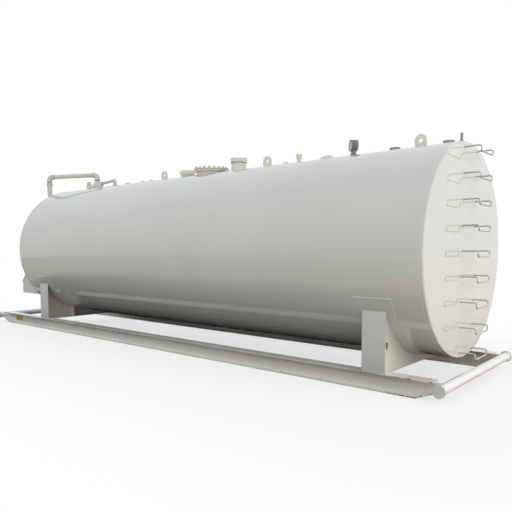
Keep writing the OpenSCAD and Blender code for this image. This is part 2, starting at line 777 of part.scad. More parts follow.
// Half couplings with square-headed or sunk plugs, the low hatch and the end nipple
module crown_plugs() {
    color(paint) {
        for (plug = headed_plugs) on_crown(plug[0]) {
            translate([0, 0, -root_depth]) cylinder(h = root_depth + plug_z, d = plug[1]);
            translate([0, 0, plug_z + plug_head_z / 2])
                cube([plug[2], plug[2], plug_head_z], center = true);
        }
        for (x = sunk_plug_xs) on_crown(x) difference() {
            translate([0, 0, -root_depth]) cylinder(h = root_depth + sunk_plug_z, d = plug_large_d);
            translate([0, 0, sunk_plug_z])
                cube([sunk_socket_w, sunk_socket_w, 2 * sunk_socket_z], center = true);
        }
        on_crown(weld_right - hatch_inset) {
            translate([0, 0, -root_depth]) cylinder(h = root_depth + hatch_z, d = hatch_d);
            translate([0, 0, hatch_z]) cylinder(h = hatch_boss_z, d = hatch_boss_d);
        }
        on_crown(weld_right - nipple_inset) {
            translate([0, 0, -root_depth]) cylinder(h = root_depth + plug_z, d = nipple_coupling_d);
            cylinder(h = nipple_z, d = nipple_d);
        }
    }
}

for (i = [0 : course_count - 1]) shell_course(i);
for (i = [0 : step_count - 1]) step(i);
for (i = [0 : len(lug_xs) - 1]) lifting_lug(lug_xs[i]);
head(weld_left, -1);  // head_left
head(weld_right, 1);  // head_right
wear_plate(saddle_xs[0]);  // wear_plate_left
wear_plate(saddle_xs[1]);  // wear_plate_right
saddle_web(saddle_xs[0], -1);  // saddle_web_left
saddle_web(saddle_xs[1], 1);  // saddle_web_right
saddle_base(saddle_xs[0]);  // saddle_base_left
saddle_base(saddle_xs[1]);  // saddle_base_right
saddle_posts();
saddle_stiffeners();
skid_beam(-beam_y);  // skid_beam_front
skid_beam(beam_y);  // skid_beam_back
drag_bar(-1);  // drag_bar_left
drag_bar(1);  // drag_bar_right
drag_bar_caps();
manway_neck();
manway_cover();
emergency_vent();
emergency_vent_lid();
low_vent();
small_vent();
fill_pipe();
fill_box();
fill_box_lid();
return_line();
level_gauge();
crown_plugs();
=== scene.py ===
import json
import math

import bmesh
import bpy
from mathutils import Matrix, Vector

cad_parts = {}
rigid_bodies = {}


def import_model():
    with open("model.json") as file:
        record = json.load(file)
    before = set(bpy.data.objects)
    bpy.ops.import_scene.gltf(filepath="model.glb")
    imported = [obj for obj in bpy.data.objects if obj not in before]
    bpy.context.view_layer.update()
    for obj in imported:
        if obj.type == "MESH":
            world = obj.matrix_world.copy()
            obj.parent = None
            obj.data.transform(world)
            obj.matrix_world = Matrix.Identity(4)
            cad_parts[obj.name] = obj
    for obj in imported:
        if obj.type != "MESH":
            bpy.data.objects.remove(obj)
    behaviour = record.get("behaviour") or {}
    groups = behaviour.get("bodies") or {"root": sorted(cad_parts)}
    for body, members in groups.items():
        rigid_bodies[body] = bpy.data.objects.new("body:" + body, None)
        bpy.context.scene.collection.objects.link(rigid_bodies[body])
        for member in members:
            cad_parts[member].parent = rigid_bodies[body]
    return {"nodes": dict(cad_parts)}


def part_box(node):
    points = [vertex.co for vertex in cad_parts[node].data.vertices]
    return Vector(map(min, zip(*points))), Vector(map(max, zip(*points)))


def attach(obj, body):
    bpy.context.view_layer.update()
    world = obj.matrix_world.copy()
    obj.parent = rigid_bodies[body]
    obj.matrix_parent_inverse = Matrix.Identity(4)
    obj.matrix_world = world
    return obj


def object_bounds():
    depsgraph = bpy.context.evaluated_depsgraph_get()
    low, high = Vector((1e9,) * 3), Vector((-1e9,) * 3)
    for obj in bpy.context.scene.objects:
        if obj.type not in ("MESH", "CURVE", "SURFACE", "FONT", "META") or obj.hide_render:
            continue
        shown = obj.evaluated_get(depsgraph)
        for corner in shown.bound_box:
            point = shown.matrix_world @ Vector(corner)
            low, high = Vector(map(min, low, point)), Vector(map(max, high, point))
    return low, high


for leftover in list(bpy.data.objects):
    bpy.data.objects.remove(leftover)
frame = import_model()
cad_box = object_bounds()
nodes = frame["nodes"]

# Shell: five courses of mild steel plate, each rolled to a ring and butt welded to the next.
# It is sprayed with a cool off-white gloss enamel that mirrors what stands round it, over
# plate that the rolling and the weld heat have left very slightly wavy.
enamel_white = (0.66, 0.665, 0.635, 1.0)
cloud_scale, cloud_tone = 0.8, (0.97, 1.015)
runs_scale, runs_stretch, runs_tone = 1.6, (5.0, 5.0, 0.45), (0.996, 1.003)
matt_scale, matt_share = 3.5, (0.85, 1.5)
wave_scale, peel_scale, peel_height, coat_roughness = 1.3, 240.0, 0.006, 0.012


def numbered(prefix):
    """The nodes that are named by a word and a number, in order."""
    count = sum(name.startswith(prefix + "_") for name in nodes)
    return [f"{prefix}_{i + 1}" for i in range(count)]


course_names = numbered("shell_course")
seam_xs = [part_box(name)[0].x for name in course_names] + [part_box(course_names[-1])[1].x]
head_low, head_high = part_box("head_right")
tank_r = (head_high.z - head_low.z) / 2
axis_z = (head_high.z + head_low.z) / 2
crown_z = axis_z + tank_r


def feed(tree, socket, value):
    """Links a socket to another, or sets its own value."""
    if isinstance(value, bpy.types.NodeSocket):
        tree.links.new(value, socket)
    else:
        socket.default_value = value


def step_node(tree, kind, settings=(), **sockets):
    """A node with its settings, and its sockets set or linked by name; returns its first output."""
    made = tree.nodes.new(kind)
    for key, value in dict(settings).items():
        setattr(made, key, value)
    for label, value in sockets.items():
        feed(tree, made.inputs[label.replace("_", " ")], value)
    return made.outputs[0]


def noise(tree, place, scale, detail):
    return step_node(tree, "ShaderNodeTexNoise", Vector=place, Scale=scale, Detail=detail)


def stretched(tree, place, scale):
    """The same place with each axis scaled, for streaks and runs."""
    return step_node(tree, "ShaderNodeMapping", Vector=place, Scale=scale)


def remap(tree, value, low, high, to_low=0.0, to_high=1.0):
    """A smooth step from one value to another as the given value goes from low to high."""
    made = tree.nodes.new("ShaderNodeMapRange")
    made.interpolation_type = "SMOOTHSTEP"
    for socket, given in zip(made.inputs, (value, low, high, to_low, to_high)):
        feed(tree, socket, given)
    return made.outputs[0]


def mottle(tree, place, scale, detail, span, values=(0.0, 1.0)):
    """Noise that goes smoothly from one value to another over a span of its levels."""
    return remap(tree, noise(tree, place, scale, detail), *span, *values)


def maths(tree, operation, first, second=0.0):
    made = tree.nodes.new("ShaderNodeMath")
    made.operation = operation
    feed(tree, made.inputs[0], first)
    feed(tree, made.inputs[1], second)
    return made.outputs[0]


def mixed(tree, share, first, second, blend="MIX"):
    """Two colours mixed by a share from 0 to 1."""
    made = tree.nodes.new("ShaderNodeMix")
    made.data_type = "RGBA"
    made.blend_type = blend
    for index, given in ((0, share), (6, first), (7, second)):
        feed(tree, made.inputs[index], given)
    return made.outputs[2]


def axis_of(tree, place, axis):
    made = tree.nodes.new("ShaderNodeSeparateXYZ")
    feed(tree, made.inputs[0], place)
    return made.outputs["XYZ".index(axis)]


def new_group(name, inputs, outputs):
    """A shader group with named sockets: the group, its input sockets and its output sockets."""
    group = bpy.data.node_groups.new(name, "ShaderNodeTree")
    for label, kind in inputs:
        group.interface.new_socket(label, in_out="INPUT", socket_type="NodeSocket" + kind)
    for label, kind in outputs:
        group.interface.new_socket(label, in_out="OUTPUT", socket_type="NodeSocket" + kind)
    return group, group.nodes.new("NodeGroupInput").outputs, group.nodes.new("NodeGroupOutput").inputs


def place_group(tree, group, **values):
    """A group placed in a material with its own values; returns its outputs."""
    made = tree.nodes.new("ShaderNodeGroup")
    made.node_tree = group
    for label, value in values.items():
        feed(tree, made.inputs[label.replace("_", " ")], value)
    return made.outputs


enamel_film, film_in, film_out = new_group(
    "Enamel film",
    [("Place", "Vector"), ("Paint", "Color"), ("Gloss", "Float"), ("Wave", "Float")],
    [("Colour", "Color"), ("Roughness", "Float"), ("Height", "Float")])
film_place = film_in["Place"]
film_tone = maths(
    enamel_film, "MULTIPLY", mottle(enamel_film, film_place, cloud_scale, 3.0, (0.3, 0.7), cloud_tone),
    mottle(enamel_film, stretched(enamel_film, film_place, runs_stretch), runs_scale, 3.0, (0.3, 0.7),
           runs_tone))
feed(enamel_film, film_out["Colour"], mixed(enamel_film, 1.0, film_in["Paint"], film_tone, "MULTIPLY"))
film_matt = mottle(enamel_film, film_place, matt_scale, 5.0, (0.35, 0.75), matt_share)
feed(enamel_film, film_out["Roughness"], maths(enamel_film, "MULTIPLY", film_in["Gloss"], film_matt))
film_plate = maths(
    enamel_film, "MULTIPLY", noise(enamel_film, film_place, wave_scale, 1.0), film_in["Wave"])
film_peel = maths(enamel_film, "MULTIPLY", noise(enamel_film, film_place, peel_scale, 1.0), peel_height)
feed(enamel_film, film_out["Height"], maths(enamel_film, "ADD", film_plate, film_peel))


def enamel(name, paint, gloss, wave, relief=0.001, coat=0.25):
    """Enamel paint over plate: a material, its tree and the place that its patterns read."""
    material = bpy.data.materials.new(name)
    material.use_nodes = True
    tree = material.node_tree
    shader = tree.nodes["Principled BSDF"]
    place = tree.nodes.new("ShaderNodeTexCoord").outputs["Object"]
    film = place_group(tree, enamel_film, Place=place, Paint=paint, Gloss=gloss, Wave=wave)
    bump = step_node(tree, "ShaderNodeBump", Distance=relief, Height=film["Height"])
    feed(tree, shader.inputs["Base Color"], film["Colour"])
    feed(tree, shader.inputs["Roughness"], film["Roughness"])
    feed(tree, shader.inputs["Normal"], bump)
    shader.inputs["Coat Weight"].default_value = coat
    shader.inputs["Coat Roughness"].default_value = coat_roughness
    return material, tree, place


def dress(material, *names):
    for name in names:
        for slot in nodes[name].material_slots:
            slot.material = material


shell_enamel, _, _ = enamel("Gloss enamel on rolled plate", enamel_white, gloss=0.06, wave=1.6, coat=0.7)
dress(shell_enamel, *course_names)

# Heads: flat discs of plate with a bent flange, butt welded to the end courses.
# They carry the same enamel, and lie flatter than the shell, so their mirror is truer.
head_enamel, _, _ = enamel("Gloss enamel on flat heads", enamel_white, gloss=0.02, wave=0.22, coat=1.0)
dress(head_enamel, "head_left", "head_right")

# Seams of the shell and the heads: beads laid by a welding machine and painted over.
# One bead runs round the tank at each joint, and one along each course on the back.
bead_half, bead_sink, bead_pitch, bead_ripple, bead_sides = 0.008, 0.0056, 0.009, 0.10, 8
seam_points, sharp_angle = 240, math.radians(40)
long_seam_angles = (58.0, 44.0, 62.0, 47.0, 55.0)
weld_enamel, _, _ = enamel("Enamel over weld bead", enamel_white, gloss=0.20, wave=0.4, relief=0.002)


def new_tree(name, inputs):
    """A geometry tree with named inputs and a paint: the tree, its input sockets and its output socket."""
    tree = bpy.data.node_groups.new(name, "GeometryNodeTree")
    tree.is_modifier = True
    for label, kind in [("Geometry", "Geometry")] + inputs + [("Paint", "Material")]:
        tree.interface.new_socket(label, in_out="INPUT", socket_type="NodeSocket" + kind)
    tree.interface.new_socket("Geometry", in_out="OUTPUT", socket_type="NodeSocketGeometry")
    return tree, tree.nodes.new("NodeGroupInput").outputs, tree.nodes.new("NodeGroupOutput").inputs[0]


def finish_tree(tree, geometry, paint, result):
    """Ends a tree: its geometry shaded smooth, made real and given its material."""
    smooth = tree.nodes.new("GeometryNodeSetShadeSmooth")
    feed(tree, smooth.inputs[0], geometry)
    real = step_node(tree, "GeometryNodeRealizeInstances", Geometry=smooth.outputs[0])
    painted = step_node(tree, "GeometryNodeSetMaterial", Geometry=real, Material=paint)
    feed(tree, result, painted)


def put(name, mesh):
    """A piece made of a finished mesh, which rides on the tank and keeps its sharp edges."""
    mesh.set_sharp_from_angle(angle=sharp_angle)
    piece = bpy.data.objects.new(name, mesh)
    bpy.context.scene.collection.objects.link(piece)
    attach(piece, "root")
    return piece


def grow(name, tree, points, edges, slot, **values):
    """The piece that a tree makes from a wire of points, as a plain mesh."""
    wire = bpy.data.meshes.new(name + "_wire")
    wire.from_pydata(points, edges, [])
    carrier = bpy.data.objects.new(name + "_wire", wire)
    bpy.context.scene.collection.objects.link(carrier)
    modifier = carrier.modifiers.new(tree.name, "NODES")
    modifier.node_group = tree
    for item in tree.interface.items_tree:
        key = item.name.replace(" ", "_")
        if item.in_out == "INPUT" and key in values:
            modifier[item.identifier] = values[key]
    bpy.context.view_layer.update()
    grown = carrier.evaluated_get(bpy.context.evaluated_depsgraph_get())
    mesh = bpy.data.meshes.new_from_object(grown)
    mesh.name = name
    bpy.data.objects.remove(carrier)
    bpy.data.meshes.remove(wire)
    return put(name, mesh)


bead_tree, bead_in, bead_out = new_tree(
    "Weld bead", [("Half width", "Float"), ("Pitch", "Float"), ("Ripple", "Float")])
bead_curve = step_node(bead_tree, "GeometryNodeMeshToCurve", Mesh=bead_in["Geometry"])
bead_even = step_node(bead_tree, "GeometryNodeResampleCurve", {"mode": "LENGTH"},
                      Curve=bead_curve, Length=bead_in["Pitch"])
bead_round = step_node(bead_tree, "GeometryNodeCurvePrimitiveCircle", Resolution=bead_sides,
                       Radius=bead_in["Half width"])
bead_odd = maths(bead_tree, "MODULO", bead_tree.nodes.new("GeometryNodeInputIndex").outputs[0], 2.0)
bead_swell = maths(bead_tree, "MULTIPLY", bead_odd, bead_in["Ripple"])
bead_sweep = step_node(bead_tree, "GeometryNodeCurveToMesh", Curve=bead_even, Profile_Curve=bead_round,
                       Fill_Caps=True, Scale=maths(bead_tree, "ADD", bead_swell, 1.0))
finish_tree(bead_tree, bead_sweep, bead_in["Paint"], bead_out)


def joined_wires(wires):
    """Several lines of points as one wire; a line that ends where it starts is closed."""
    points, edges = [], []
    for line in wires:
        first = len(points)
        closed = line[0] == line[-1]
        kept = line[:-1] if closed else line
        points += kept
        edges += [(first + i, first + i + 1) for i in range(len(kept) - 1)]
        if closed:
            edges.append((first + len(kept) - 1, first))
    return points, edges


def round_tank(x, radius, angle):
    """A point on a ring about the tank's axis; angle 0 is the crown, and 90 the back."""
    turn = math.radians(angle)
    return (x, radius * math.sin(turn), axis_z + radius * math.cos(turn))


def closed_ring(point_at, count):
    """The points that point_at gives round a full circle, with the first again at the end."""
    ring = [point_at(360.0 * i / count) for i in range(count)]
    return ring + ring[:1]


def beads(name, wires, half_width, slot, paint):
    """Weld beads along wires, kept inside the width of the tank itself."""
    piece = grow(name, bead_tree, *joined_wires(wires), slot, Half_width=half_width, Pitch=bead_pitch,
                 Ripple=bead_ripple, Paint=paint)
    for vertex in piece.data.vertices:
        vertex.co.y = min(max(vertex.co.y, cad_box[0].y), cad_box[1].y)
    return piece


seam_r = tank_r - bead_sink
beads("girth_welds", [closed_ring(lambda turn: round_tank(x, seam_r, turn), seam_points) for x in seam_xs],
      bead_half, "tank_paint", weld_enamel)
beads("course_welds", [[round_tank(x, seam_r, angle) for x in (start, end)]
                       for start, end, angle in zip(seam_xs, seam_xs[1:], long_seam_angles)],
      bead_half, "tank_paint", weld_enamel)

# Wear plates: rolled plates between the shell and the saddles that spread the load.
# They are of the same painted steel, and a fillet weld runs all the way round each.
fillet_half, fillet_lift, plate_arc_steps = 0.007, 0.002, 60
dress(shell_enamel, "wear_plate_left", "wear_plate_right")


def under_arc(x, radius, wrap, steps):
    """Points round the tank's underside, as far behind its lowest line as in front of it."""
    return [round_tank(x, radius, 180.0 - wrap + 2.0 * wrap * i / steps) for i in range(steps + 1)]


wear_wires = []
for side in ("left", "right"):
    plate_low, plate_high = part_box("wear_plate_" + side)
    wrap = math.degrees(math.acos((axis_z - plate_high.z) / tank_r))
    outline = under_arc(plate_low.x - fillet_lift, tank_r + fillet_lift, wrap, plate_arc_steps)
    outline += reversed(under_arc(plate_high.x + fillet_lift, tank_r + fillet_lift, wrap, plate_arc_steps))
    wear_wires.append(outline + outline[:1])
beads("wear_plate_welds", wear_wires, fillet_half, "tank_paint", weld_enamel)

# Saddles: plates cut to the tank and welded into a box with posts at both ends.
# They have a brushed satin coat with a few rusty nicks; the plates are painted lighter and warmer
# than the posts, as painted light for the shade under the tank.
web_white_painted_light, post_white = (0.78, 0.755, 0.69, 1.0), (0.69, 0.695, 0.66, 1.0)
rust_dark, rust_light = (0.075, 0.032, 0.014, 1.0), (0.27, 0.115, 0.04, 1.0)
rust_none, rust_reach, rust_edge, rust_tone_scale = 0.80, 0.32, 0.05, 90.0
dust_brown, dust_rise, web_arc_steps = (0.36, 0.31, 0.24, 1.0), 0.2, 40
rust_nicks, rust_in, rust_out = new_group(
    "Rust nicks", [("Place", "Vector"), ("Amount", "Float"), ("Scale", "Float")],
    [("Mask", "Float"), ("Colour", "Color")])
rust_spots = noise(rust_nicks, rust_in["Place"], rust_in["Scale"], 6.0)
rust_limit = maths(
    rust_nicks, "SUBTRACT", rust_none, maths(rust_nicks, "MULTIPLY", rust_in["Amount"], rust_reach))
feed(rust_nicks, rust_out["Mask"],
     remap(rust_nicks, rust_spots, rust_limit, maths(rust_nicks, "ADD", rust_limit, rust_edge)))
rust_tone = mottle(rust_nicks, rust_in["Place"], rust_tone_scale, 3.0, (0.35, 0.65))
feed(rust_nicks, rust_out["Colour"], mixed(rust_nicks, rust_tone, rust_dark, rust_light))
settled_dirt, dirt_in, dirt_out = new_group(
    "Settled dirt", [("Place", "Vector"), ("Low", "Float"), ("High", "Float"), ("Amount", "Float")],
    [("Mask", "Float")])
dirt_fade = remap(settled_dirt, axis_of(settled_dirt, dirt_in["Place"], "Z"),
                  dirt_in["Low"], dirt_in["High"], 1.0, 0.0)
dirt_cloud = mottle(settled_dirt, dirt_in["Place"], 7.0, 6.0, (0.3, 0.75), (0.25, 1.0))
feed(settled_dirt, dirt_out["Mask"], maths(
    settled_dirt, "MULTIPLY", maths(settled_dirt, "MULTIPLY", dirt_fade, dirt_cloud), dirt_in["Amount"]))


def lay_over(material, mask, colour, roughness):
    """Lays a colour and a roughness over a material where a mask is 1."""
    tree = material.node_tree
    shader = tree.nodes["Principled BSDF"]
    under = shader.inputs["Base Color"].links[0].from_socket
    feed(tree, shader.inputs["Base Color"], mixed(tree, mask, under, colour))
    gloss = shader.inputs["Roughness"].links[0].from_socket
    blend = tree.nodes.new("ShaderNodeMix")
    for index, given in ((0, mask), (2, gloss), (3, roughness)):
        feed(tree, blend.inputs[index], given)
    feed(tree, shader.inputs["Roughness"], blend.outputs[0])


def rust_over(material, place, amount, scale, roughness=0.85):
    """Lays nicks of rust over a material, and returns the rust's mask and colour."""
    rust = place_group(material.node_tree, rust_nicks, Place=place, Amount=amount, Scale=scale)
    lay_over(material, rust["Mask"], rust["Colour"], roughness)
    return rust


def dirt_over(material, place, low, high, amount, roughness=0.75):
    """Lays brown dirt over the lower part of a material, fading out from low to high."""
    dirt = place_group(material.node_tree, settled_dirt, Place=place, Low=low, High=high, Amount=amount)
    lay_over(material, dirt["Mask"], dust_brown, roughness)


base_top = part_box("saddle_base_right")[1].z


def saddle_coat(name, paint):
    """Satin enamel on saddle plate, with a little dust low down and a few nicks of rust."""
    material, _, place = enamel(name, paint, gloss=0.36, wave=0.2, coat=0.0)
    dirt_over(material, place, base_top, base_top + dust_rise, amount=0.10, roughness=0.7)
    rust_over(material, place, amount=0.07, scale=14.0)
    return material


post_enamel = saddle_coat("Satin enamel on saddle posts", post_white)
web_enamel = saddle_coat("Satin enamel on saddle plates", web_white_painted_light)
dress(post_enamel, "saddle_posts")
dress(web_enamel, "saddle_web_left", "saddle_web_right", "saddle_base_left", "saddle_base_right",
      "saddle_stiffeners")
beam_low, beam_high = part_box("skid_beam_front")
saddle_wires = []
for side in ("left", "right"):
    web_low, web_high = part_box("saddle_web_" + side)
    base_low, base_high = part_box("saddle_base_" + side)
    wear_r = axis_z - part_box("wear_plate_" + side)[0].z
    web_wrap = math.degrees(math.asin(web_high.y / wear_r))
    for face_x in (web_low.x - fillet_lift, web_high.x + fillet_lift):
        saddle_wires.append(under_arc(face_x, wear_r + fillet_lift, web_wrap, web_arc_steps))
        saddle_wires.append([(face_x, y, web_low.z + fillet_lift) for y in (web_low.y, web_high.y)])
        for y in (web_low.y + fillet_lift, web_high.y - fillet_lift):
            saddle_wires.append([(face_x, y, z) for z in (web_low.z, web_high.z)])
    for edge_x in (base_low.x - fillet_lift, base_high.x + fillet_lift):
        for way in (-1.0, 1.0):
            saddle_wires.append([(edge_x, way * y, base_low.z + fillet_lift)
                                 for y in (beam_low.y, beam_high.y)])
beads("saddle_welds", saddle_wires, fillet_half, "skid_paint", web_enamel)

# Skid: two rolled I-beams with noses that rise to the drag bars, and pipes between their ends.
# The enamel is a warmer white than the tank's, and is painted lighter still, as painted light for
# the shade on the beams. Tow chains have nicked it to rust along the flange edges near the noses,
# and a little splashed earth has dried on the lower flanges.
skid_white_painted_light, bar_white = (0.88, 0.86, 0.785, 1.0), (0.93, 0.92, 0.89, 1.0)
splash_top, nose_reach, nose_wear = 0.05, 1.6, (0.35, 1.0)
chip_width, chip_wear, edge_line_fade, edge_line_wear = 0.02, (0.85, 0.10), (0.001, 0.005), (0.15, 0.8)
bar_weld_share, ring_points = 0.999, 48
beam_axis_y = (beam_low.y + beam_high.y) / 2
flange_half = (beam_high.y - beam_low.y) / 2
bar_low, bar_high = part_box("drag_bar_right")
bar_x, bar_z = (bar_low.x + bar_high.x) / 2, (bar_low.z + bar_high.z) / 2
bar_r = (bar_high.z - bar_low.z) / 2
skid_enamel, skid_tree, skid_place = enamel(
    "Satin enamel on skid", skid_white_painted_light, gloss=0.14, wave=0.8, coat=0.3)
dirt_over(skid_enamel, skid_place, 0.0, splash_top, amount=0.18)
skid_from_middle = maths(skid_tree, "ABSOLUTE", axis_of(skid_tree, skid_place, "Y"))
off_axis = maths(skid_tree, "ABSOLUTE", maths(skid_tree, "ADD", skid_from_middle, beam_axis_y))
edge_gap = maths(skid_tree, "ABSOLUTE", maths(skid_tree, "SUBTRACT", off_axis, flange_half))
nose_near = remap(skid_tree, maths(skid_tree, "ABSOLUTE", axis_of(skid_tree, skid_place, "X")),
                  bar_x - nose_reach, bar_x, *nose_wear)
edge_wear = maths(skid_tree, "MULTIPLY", remap(skid_tree, edge_gap, 0.0, chip_width, *chip_wear), nose_near)
skid_rust = rust_over(skid_enamel, skid_place, edge_wear, scale=11.0)
edge_line = maths(skid_tree, "MULTIPLY", remap(skid_tree, edge_gap, *edge_line_fade, 1.0, 0.0),
                  mottle(skid_tree, skid_place, 5.0, 6.0, (0.46, 0.56)))
edge_line_near = remap(skid_tree, nose_near, nose_wear[0], 0.9, *edge_line_wear)
lay_over(skid_enamel, maths(skid_tree, "MULTIPLY", edge_line, edge_line_near), skid_rust["Colour"],
         roughness=0.85)
dress(skid_enamel, "skid_beam_front", "skid_beam_back")
bar_enamel, _, bar_place = enamel("Gloss enamel on drag bars", bar_white, gloss=0.10, wave=0.3, coat=0.4)
rust_over(bar_enamel, bar_place, amount=0.10, scale=16.0)
dress(bar_enamel, "drag_bar_left", "drag_bar_right")
dress(post_enamel, "drag_bar_caps")


def round_at(x, y, radius, turn):
    """The two coordinates of a place on a circle."""
    return (x + radius * math.cos(math.radians(turn)), y + radius * math.sin(math.radians(turn)))


bar_ring = closed_ring(lambda turn: round_at(bar_x, bar_z, bar_r, turn), ring_points)
bar_wires = [[(way_x * x, y * bar_weld_share, z) for x, z in bar_ring]
             for way_x in (-1.0, 1.0) for y in (bar_low.y, bar_high.y)]
beads("drag_bar_welds", bar_wires, fillet_half, "skid_paint", bar_enamel)

# Plate on the front beam: a yellow sheet riveted to the web, weathered and with nothing on it.
# Its yellow enamel has faded and chalked, and dirt has gathered along its lower edge.
faded_yellow = (0.56, 0.375, 0.012, 1.0)
sign_x, sign_z, sign_w, sign_h, sign_t, sign_corner = -4.395, 0.112, 0.28, 0.096, 0.003, 0.012
beam_web_half, rivet_r, rivet_inset, rivet_flatness = 0.004, 0.006, 0.014, (1.0, 0.5, 1.0)
corner_steps = 4
web_face_y = beam_axis_y - beam_web_half
sign_yellow, _, sign_place = enamel("Faded yellow enamel", faded_yellow, gloss=0.5, wave=0.2, coat=0.0)
dirt_over(sign_yellow, sign_place, sign_z - sign_h / 2, sign_z + sign_h / 2, amount=0.16)


def placed(name, shape, centre, turn, paint):
    """A piece made of a shape that is turned, moved to its centre and painted."""
    bmesh.ops.recalc_face_normals(shape, faces=shape.faces)
    shape.transform(Matrix.Translation(centre) @ turn.to_4x4())
    mesh = bpy.data.meshes.new(name)
    shape.to_mesh(mesh)
    shape.free()
    mesh.materials.append(paint)
    return put(name, mesh)


def plate(name, size, thickness, corner, centre, turn, paint):
    """A flat plate with round corners; its width, height and thickness lie along the turn's axes."""
    width, height = size
    outline = []
    for quarter, (way_x, way_y) in enumerate(((1, 1), (-1, 1), (-1, -1), (1, -1))):
        for i in range(corner_steps + 1):
            bend = math.radians(90.0 * (quarter + i / corner_steps))
            outline.append((way_x * (width / 2 - corner) + corner * math.cos(bend),
                            way_y * (height / 2 - corner) + corner * math.sin(bend), 0.0))
    shape = bmesh.new()
    foot = shape.faces.new([shape.verts.new(point) for point in outline])
    top = bmesh.ops.extrude_face_region(shape, geom=[foot], use_keep_orig=True)["geom"]
    bmesh.ops.translate(shape, vec=(0.0, 0.0, thickness),
                        verts=[part for part in top if isinstance(part, bmesh.types.BMVert)])
    return placed(name, shape, centre, turn, paint)


def repeat_shape(tree, shape, sockets, result, **placing):
    """Ends a tree that stands a shape on each point of its wire."""
    copies = step_node(tree, "GeometryNodeInstanceOnPoints", Points=sockets["Geometry"], Instance=shape,
                       **placing)
    finish_tree(tree, copies, sockets["Paint"], result)


plate("beam_plate", (sign_w, sign_h), sign_t, sign_corner, Vector((sign_x, web_face_y, sign_z)),
      Matrix.Rotation(math.radians(90), 3, "X"), sign_yellow)
rivet_tree, rivet_in, rivet_out = new_tree("Rivet heads", [("Radius", "Float"), ("Flatness", "Vector")])
rivet_ball = step_node(rivet_tree, "GeometryNodeMeshUVSphere", Segments=14, Rings=8,
                       Radius=rivet_in["Radius"])
repeat_shape(rivet_tree, rivet_ball, rivet_in, rivet_out, Scale=rivet_in["Flatness"])
rivet_points = [(sign_x + way_x * (sign_w / 2 - rivet_inset), web_face_y - sign_t,
                 sign_z + way_z * (sign_h / 2 - rivet_inset)) for way_x in (-1, 1) for way_z in (-1, 1)]
grow("beam_plate_rivets", rivet_tree, rivet_points, [], "skid_paint", Radius=rivet_r,
     Flatness=rivet_flatness, Paint=sign_yellow)

# Steps: nine rungs bent from round bar, with both legs welded to the head.
# Their undersides carry painted shade, darker the more they face down; boots have scuffed the
# treads, and a weld makes a collar round each leg.
step_bar_r, collar_r, collar_depth, collar_sides, collar_taper = 0.0095, 0.017, 0.008, 16, 0.6
step_underside_shade, scuff_brown, tread_depth = (0.20, 0.18, 0.15, 1.0), (0.24, 0.215, 0.18, 1.0), 0.03
step_names = numbered("step")
tread_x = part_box("step_1")[1].x - step_bar_r
step_enamel, step_tree, step_place = enamel("Enamel on steps", enamel_white, gloss=0.14, wave=0.2, coat=0.2)
step_facing = axis_of(step_tree, step_tree.nodes.new("ShaderNodeNewGeometry").outputs["Normal"], "Z")
# Painted shade: each rung is darker the more its surface faces down.
lay_over(step_enamel, remap(step_tree, step_facing, -0.6, 0.1, 0.85, 0.0), step_underside_shade, roughness=0.6)
scuff_near = remap(step_tree, axis_of(step_tree, step_place, "X"), tread_x - tread_depth, tread_x, 0.0, 0.5)
scuff_marks = mottle(step_tree, step_place, 34.0, 5.0, (0.5, 0.62))
lay_over(step_enamel, maths(step_tree, "MULTIPLY", scuff_near, scuff_marks), scuff_brown, roughness=0.5)
dress(step_enamel, *step_names)
leg_points = []
for name in step_names:
    rung_low, rung_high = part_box(name)
    leg_points += [(rung_low.x, y, rung_high.z - step_bar_r)
                   for y in (rung_low.y + step_bar_r, rung_high.y - step_bar_r)]
collar_tree, collar_in, collar_out = new_tree(
    "Weld collar", [("Radius", "Float"), ("Depth", "Float"), ("Sides", "Int")])
collar_cone = step_node(collar_tree, "GeometryNodeMeshCone", Vertices=collar_in["Sides"], Side_Segments=3,
                        Radius_Top=maths(collar_tree, "MULTIPLY", collar_in["Radius"], collar_taper),
                        Radius_Bottom=collar_in["Radius"], Depth=collar_in["Depth"])
collar_turn = step_node(collar_tree, "GeometryNodeTransform", Geometry=collar_cone,
                        Rotation=(0.0, math.radians(90), 0.0))
repeat_shape(collar_tree, collar_turn, collar_in, collar_out)
grow("step_collars", collar_tree, leg_points, [], "fitting_paint", Radius=collar_r, Depth=collar_depth,
     Sides=collar_sides, Paint=step_enamel)

# Lifting lugs: thick plates on edge along the crown, each with an eye for a shackle.
# Their brushed enamel is creamier than the shell's, and a fillet weld runs round each foot.
fitting_cream, foot_rust_rise = (0.79, 0.765, 0.67, 1.0), 0.05
lug_names = numbered("lifting_lug")


def fitting_enamel(name):
    """Brushed enamel on a crown fitting, rusty near its foot, where rain stands."""
    material, tree, place = enamel(name, fitting_cream, gloss=0.20, wave=0.4, coat=0.15)
    foot_near = remap(tree, axis_of(tree, place, "Z"), crown_z, crown_z + foot_rust_rise, 0.50, 0.0)
    rust_over(material, place, foot_near, scale=24.0)
    return material, tree, place


crown_enamel, _, _ = fitting_enamel("Enamel on crown fittings")
dress(crown_enamel, *lug_names)


def on_shell(x, y):
    """The point of the shell straight below a place on its crown."""
    return (x, y, axis_z + math.sqrt(tank_r ** 2 - y ** 2))


def foot_ring(x, y, radius):
    """A ring on the shell round the foot of a round fitting."""
    return closed_ring(lambda turn: on_shell(*round_at(x, y, radius, turn)), ring_points)


crown_wires = []
for name in lug_names:
    lug_low, lug_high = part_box(name)
    corners = [(lug_low.x, lug_low.y), (lug_high.x, lug_low.y), (lug_high.x, lug_high.y),
               (lug_low.x, lug_high.y), (lug_low.x, lug_low.y)]
    crown_wires.append([on_shell(x, y) for x, y in corners])

